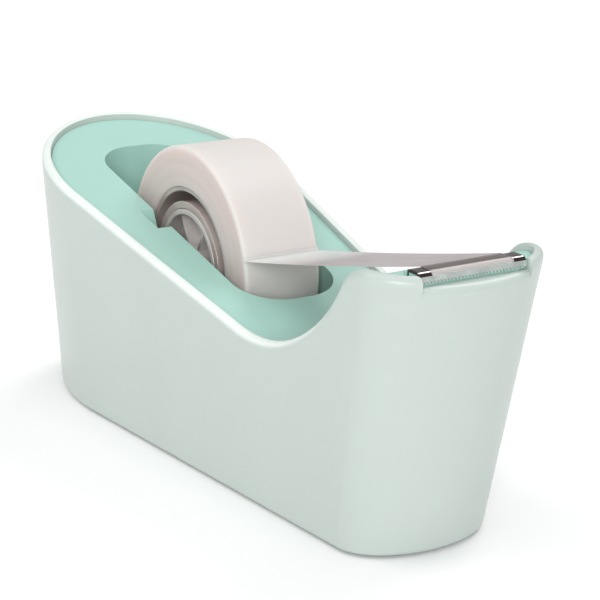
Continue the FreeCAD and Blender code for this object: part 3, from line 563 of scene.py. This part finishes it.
def make_core():
    """Two rings joined by a web, with eased edges."""
    inner = CORE_INNER + CORE_INNER_WALL
    outer = CORE_RADIUS - CORE_WALL
    half = CORE_HALF
    web = CORE_WEB / 2
    near = [
        (CORE_INNER, -half), (inner, -half), (inner, -web),
        (outer, -web), (outer, -half), (CORE_RADIUS, -half),
    ]
    far = [(radius, -y) for radius, y in reversed(near)]
    outline = rounded(near + far, CORE_EASE)
    mesh = bmesh.new()
    add_turned(mesh, outline)
    material = smoke_plastic("core_plastic", CORE_COLOUR, 0.97)
    stand_for(finish_piece("core_rings", mesh, [material]), "tape_core", "roll")


def add_rib(mesh, side, turn):
    """Radial rib in front of the hub's web, thinner at its rounded outer edge."""
    start = BOSS_RADIUS - RIB_OVERLAP
    end = HUB_RADIUS - HUB_WALL + RIB_OVERLAP
    root = side * (HUB_HALF - HUB_WEB_INSET - RIB_FOOT)
    crest = side * (HUB_HALF - RIB_INSET)
    corners = [(-RIB / 2, root), (RIB / 2, root), (RIB_CREST_HALF, crest), (-RIB_CREST_HALF, crest)]
    section = rounded(corners, RIB_EASE, steps=3)
    along = Vector((math.cos(turn), 0.0, math.sin(turn)))
    beside = Vector((-math.sin(turn), 0.0, math.cos(turn)))
    loops = []
    for radius in (start, end):
        middle = Vector((AXLE.x, 0.0, AXLE.z)) + radius * along
        places = [middle + across * beside + Vector((0.0, y, 0.0)) for across, y in section]
        loops.append([mesh.verts.new(place) for place in places])
    skin(mesh, loops, closed=False)
    mesh.faces.new(loops[0])
    mesh.faces.new(loops[1])


def make_hub(name, cad_node, side, has_spigot, material):
    """Half of the hub: eased drum, recessed web, boss and ribs."""
    drum = HUB_RADIUS - HUB_WALL
    web_out = side * (HUB_HALF - HUB_WEB_INSET)
    web_in = side * (HUB_HALF - HUB_WEB_INSET - HUB_WEB)
    corners = [
        (BORE, 0.0), (BORE, side * BOSS_HALF), (BOSS_RADIUS, side * BOSS_HALF), (BOSS_RADIUS, web_out),
        (drum, web_out), (drum, side * HUB_HALF), (HUB_RADIUS, side * HUB_HALF), (HUB_RADIUS, 0.0),
    ]
    if has_spigot:
        snug = drum - SPIGOT_GAP
        corners += [
            (snug, 0.0), (snug, -side * SPIGOT_LENGTH),
            (snug - SPIGOT_WALL, -side * SPIGOT_LENGTH), (snug - SPIGOT_WALL, web_in),
        ]
    else:
        corners += [(drum, 0.0), (drum, web_in)]
    corners += [(BOSS_RADIUS, web_in), (BOSS_RADIUS, 0.0)]
    mesh = bmesh.new()
    add_turned(mesh, rounded(corners, HUB_EASE))
    for number in range(RIB_COUNT):
        add_rib(mesh, side, -math.tau * number / RIB_COUNT)
    stand_for(finish_piece(name, mesh, [material]), cad_node, "roll")


# ------------------------------------------------------------------ cutter

BLADE_LOW, BLADE_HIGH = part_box("cutter_blade")
BLADE_SHEET = 0.5 * MM
FLANGE_ANGLE = math.radians(38.0)
FLANGE_LENGTH = 2.3 * MM
TOOTH_PITCH = 0.8 * MM
TOOTH_HEIGHT = 0.6 * MM
GRIND_START = 0.95 * MM
TIP_THICKNESS = 0.06 * MM
ROOT_THICKNESS = 0.2 * MM
BEND_REACH = 0.3 * MM
# Reach of the painted highlight round the bend.
BEND_HIGHLIGHT_REACH = 0.8 * BEND_REACH
INNER_EASE = 0.12 * MM
BEND_X = BLADE_HIGH.x - FLANGE_LENGTH * math.sin(FLANGE_ANGLE)
FLANGE_DOWN = Vector((math.sin(FLANGE_ANGLE), -math.cos(FLANGE_ANGLE)))
FLANGE_OUT = Vector((math.cos(FLANGE_ANGLE), math.sin(FLANGE_ANGLE)))


def eased(points, radius, steps=5):
    """Open line of 2-D points whose inner corners are eased."""
    line = [Vector(points[0])]
    for before, corner, after in zip(points, points[1:], points[2:]):
        before, corner, after = Vector(before), Vector(corner), Vector(after)
        to_before = before - corner
        to_after = after - corner
        start = corner + min(radius, EASED_SHARE * to_before.length) * to_before.normalized()
        end = corner + min(radius, EASED_SHARE * to_after.length) * to_after.normalized()
        line += corner_curve(start, corner, end, steps)
    line.append(Vector(points[-1]))
    return line


def blade_sections():
    """Outer and inner lines of the blade down to where its teeth are ground, as (x, z)."""
    back = BLADE_LOW.x
    top = BLADE_HIGH.z
    bend = Vector((BEND_X, top))
    ground = bend + GRIND_START * FLANGE_DOWN
    inner_inset = BLADE_SHEET * (1 - math.sin(FLANGE_ANGLE)) / math.cos(FLANGE_ANGLE)
    inner_bend = Vector((BEND_X - inner_inset, top - BLADE_SHEET))
    outer = eased([(back, BLADE_LOW.z), (back, top), bend, ground], BEND_REACH)
    inner = eased([
        (back + BLADE_SHEET, BLADE_LOW.z), (back + BLADE_SHEET, top - BLADE_SHEET), inner_bend,
        ground - BLADE_SHEET * FLANGE_OUT,
    ], INNER_EASE)
    return outer, inner


def tooth_tip(is_tip):
    """Outer and inner end of the flange at a tooth's tip or root, ground thin from outside."""
    length = FLANGE_LENGTH if is_tip else FLANGE_LENGTH - TOOTH_HEIGHT
    thin = TIP_THICKNESS if is_tip else ROOT_THICKNESS
    inner = Vector((BEND_X, BLADE_HIGH.z)) + length * FLANGE_DOWN - BLADE_SHEET * FLANGE_OUT
    return inner + thin * FLANGE_OUT, inner


def make_blade():
    """Bent steel strip with ground saw teeth; the flats are painted dark for the dark reflections on them.
    The ground facets are brighter and tinted with a painted mint reflection, and the bend carries a painted
    highlight.
    """
    outer, inner = blade_sections()
    width = BLADE_HIGH.y - BLADE_LOW.y
    columns = round(2 * width / TOOTH_PITCH)
    mesh = bmesh.new()
    loops = []
    for column in range(columns + 1):
        y = BLADE_LOW.y + 0.5 * TOOTH_PITCH * column
        tip_out, tip_in = tooth_tip(column % 2 == 1)
        section = outer + [tip_out, tip_in] + inner[::-1]
        loops.append([mesh.verts.new((x, y, z)) for x, z in section])
    skin(mesh, loops, closed=False)
    half = len(loops[0]) // 2
    for loop in (loops[0], loops[-1]):
        for row in range(half - 1):
            mesh.faces.new((loop[row], loop[row + 1], loop[-2 - row], loop[-1 - row]))
    # Painted dark reflection: the blade's flats get a dark steel colour.
    dark = steel("blade_steel", STEEL_PAINTED_DARK_REFLECTION_COLOUR, 0.2, 900.0, (1.0, 0.05, 1.0), 0.000006)
    # Ground facets: brighter ground steel, tinted with a painted mint reflection of the casing.
    ground_and_reflection_steel = steel("ground_edge_painted_reflection", GROUND_STEEL_MINT_REFLECTION_COLOUR, 0.34, 2400.0, (1.0, 0.4, 1.0), 0.00001)
    # Painted highlight: the bend gets a pale steel standing in for the light caught along it.
    step_and_bend_highlight = steel("bend_painted_highlight", BEND_HIGHLIGHT_STEEL_COLOUR, 0.25, 1500.0, (1.0, 0.2, 1.0), 0.000006)
    ground_below = BLADE_HIGH.z - GRIND_START * math.cos(FLANGE_ANGLE) + 0.01 * MM
    bend_top = Vector((BEND_X, BLADE_HIGH.z))
    for face in mesh.faces:
        centre = face.calc_center_median()
        if centre.x > BEND_X and centre.z < ground_below:
            face.material_index = 1
        elif (Vector((centre.x, centre.z)) - bend_top).length < BEND_HIGHLIGHT_REACH:
            face.material_index = 2
    piece = finish_piece("cutter", mesh, [dark, ground_and_reflection_steel, step_and_bend_highlight], bevel_normals=False)
    for polygon in piece.data.polygons:
        polygon.use_smooth = polygon.material_index != 1
    stand_for(piece, "cutter_blade", "housing")


# ------------------------------------------------------------------ free strip

FILM = 0.06 * MM
FILM_GAP = 0.05 * MM
STRIP_SAG = 0.5 * MM
STRIP_CUP = 0.22 * MM
STUCK_ARC = math.radians(1.5)
STUCK_STEPS = 6
RUN_STEPS = 40
FOLD_REACH = 0.3 * MM
STRIP_END = 1.1 * MM
STRIP_TEAR = 0.15 * MM


def strip_line():
    """Side view of the film's lower face as (x, z, share of the free run) from the roll to its cut end."""
    radius = TAPE_RADIUS + FILM_GAP
    peel = Vector((AXLE.x, AXLE.z)) + radius * PEEL_POINT.normalized()
    edge = Vector((BLADE_LOW.x, BLADE_HIGH.z + FILM_GAP))
    bend = Vector((BEND_X, BLADE_HIGH.z + FILM_GAP))
    end = bend + (STRIP_END - STRIP_TEAR) * FLANGE_DOWN
    stuck = [PEEL_TURN + STUCK_ARC * (1 - step / STUCK_STEPS) for step in range(STUCK_STEPS)]
    line = [(AXLE.x + radius * math.cos(turn), AXLE.z + radius * math.sin(turn), 0.0) for turn in stuck]
    run = edge - peel
    below = Vector((run.y, -run.x)).normalized()
    for step in range(RUN_STEPS + 1):
        share = step / RUN_STEPS
        point = peel + share * run + 4 * share * (1 - share) * STRIP_SAG * below
        line.append((*point, share))
    over = eased([edge, bend, end], FOLD_REACH)
    line += [(*point, 1.0) for point in over[1:]]
    return line


def make_strip():
    """Film from the roll to the cutter, cupped a little between them, with an end torn by the teeth."""
    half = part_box("tape_strip")[1].y
    columns = round(4 * half / TOOTH_PITCH)
    spacing = 2 * half / columns
    line = strip_line()
    mesh = bmesh.new()
    rows = []
    for x, z, share in line:
        row = []
        for column in range(columns + 1):
            y = -half + spacing * column
            lift = STRIP_CUP * math.sin(math.pi * share) * ((y / half) ** 2 - 0.5)
            row.append(mesh.verts.new((x, y, z + lift)))
        rows.append(row)
    for column in range(1, columns, 2):
        tip = rows[-1][column]
        tip.co.x += STRIP_TEAR * FLANGE_DOWN.x
        tip.co.z += STRIP_TEAR * FLANGE_DOWN.y
    for first, second in zip(rows, rows[1:]):
        for here in range(columns):
            mesh.faces.new((first[here], first[here + 1], second[here + 1], second[here]))
    free = tape_film("tape_film", FREE_FILM_COLOUR, FILM_PAINTED_NEAR_ROLL_COLOUR, 0.84)
    # The pressed film is painted dark, standing in for the dark steel seen through it.
    pressed_dark_film = tape_film("pressed_film_painted_dark", PRESSED_FILM_PAINTED_DARK_COLOUR, FILM_PAINTED_NEAR_ROLL_COLOUR, 0.6)
    # The folded film carries a painted highlight for the light caught on the fold.
    folded_highlight_film = tape_film("folded_film_painted_highlight", FOLDED_FILM_HIGHLIGHT_COLOUR, FILM_PAINTED_NEAR_ROLL_COLOUR, 0.75)
    for face in mesh.faces:
        centre = face.calc_center_median()
        if centre.x > BEND_X - BEND_REACH:
            face.material_index = 2
        elif centre.x > BLADE_LOW.x:
            face.material_index = 1
    piece = finish_piece("free_strip", mesh, [free, pressed_dark_film, folded_highlight_film], bevel_normals=False)
    film = piece.modifiers.new("film", "SOLIDIFY")
    film.thickness = FILM
    film.offset = 1.0
    stand_for(piece, "tape_strip", "axle")


# ------------------------------------------------------------------ CAD pieces that keep their mesh

def repaint(cad_node, material):
    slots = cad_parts[cad_node].data.materials
    slots.clear()
    slots.append(material)


def paint_cad_nodes():
    shell_plastic = moulded_plastic(
        "casing_plastic", CASING_COLOUR, 0.3, 0.000004, RIM_HIGHLIGHT_COLOUR, Specular_IOR_Level=0.45,
        Subsurface_Weight=0.12, Subsurface_Radius=(0.8, 1.0, 0.9), Subsurface_Scale=0.002,
    )
    tray_plastic = moulded_plastic(
        "tray_plastic", TRAY_COLOUR, 0.34, 0.000006, Specular_IOR_Level=0.4,
        Subsurface_Weight=0.12, Subsurface_Radius=(0.7, 1.0, 0.9), Subsurface_Scale=0.002,
    )
    base_plastic = moulded_plastic("base_plastic", BASE_COLOUR, 0.55, 0.00004)
    nylon = moulded_plastic(
        "washer_nylon", NYLON_COLOUR, 0.38, 0.00001, Subsurface_Weight=0.3, Subsurface_Scale=0.001,
    )
    iron = cast_iron("ballast_iron")
    screw_steel = steel("screw_steel", SCREW_COLOUR, 0.3, 1800.0, (1.0, 1.0, 0.2), 0.00001)
    axle_steel = steel("axle_steel", AXLE_COLOUR, 0.22, 2600.0, (0.15, 1.0, 0.15), 0.000008)
    repaint("outer_shell", shell_plastic)
    repaint("inner_tray", tray_plastic)
    repaint("base_plate", base_plastic)
    repaint("non_slip_pad", ribbed_rubber("pad_rubber"))
    repaint("pad_adhesive", adhesive("adhesive_film"))
    for weight in ("front_ballast", "back_ballast", "ballast_plate"):
        repaint(weight, iron)
    for fastener in ("base_screws", "ballast_bolts"):
        repaint(fastener, screw_steel)
    repaint("axle_pin", axle_steel)
    repaint("axle_washers", nylon)


FLOOR_HALF = 20.0
FLOOR_DARK = (0.3, (0.93, 0.93, 0.93))
FLOOR_LIGHT = (0.7, (0.95, 0.95, 0.95))


def add_floor():
    """Plain pale floor with a barely uneven matte paint."""
    mesh = bmesh.new()
    bmesh.ops.create_grid(mesh, x_segments=1, y_segments=1, size=FLOOR_HALF)
    material, tree, shader = new_material("floor_paint", Roughness=0.9, Specular_IOR_Level=0.1)
    patches = noise(tree, 3.0, 2.0)
    link(tree, tint(tree, patches, FLOOR_DARK, FLOOR_LIGHT), shader, "Base Color")
    floor = finish_piece("floor", mesh, [material], bevel_normals=False)


add_camera()
add_studio()
add_floor()
paint_cad_nodes()
make_winding()
make_core()
hub_plastic = smoke_plastic("hub_smoke", HUB_COLOUR, 0.82)
make_hub("hub_far_half", "hub_left", 1, True, hub_plastic)
make_hub("hub_near_half", "hub_right", -1, False, hub_plastic)
make_blade()
make_strip()
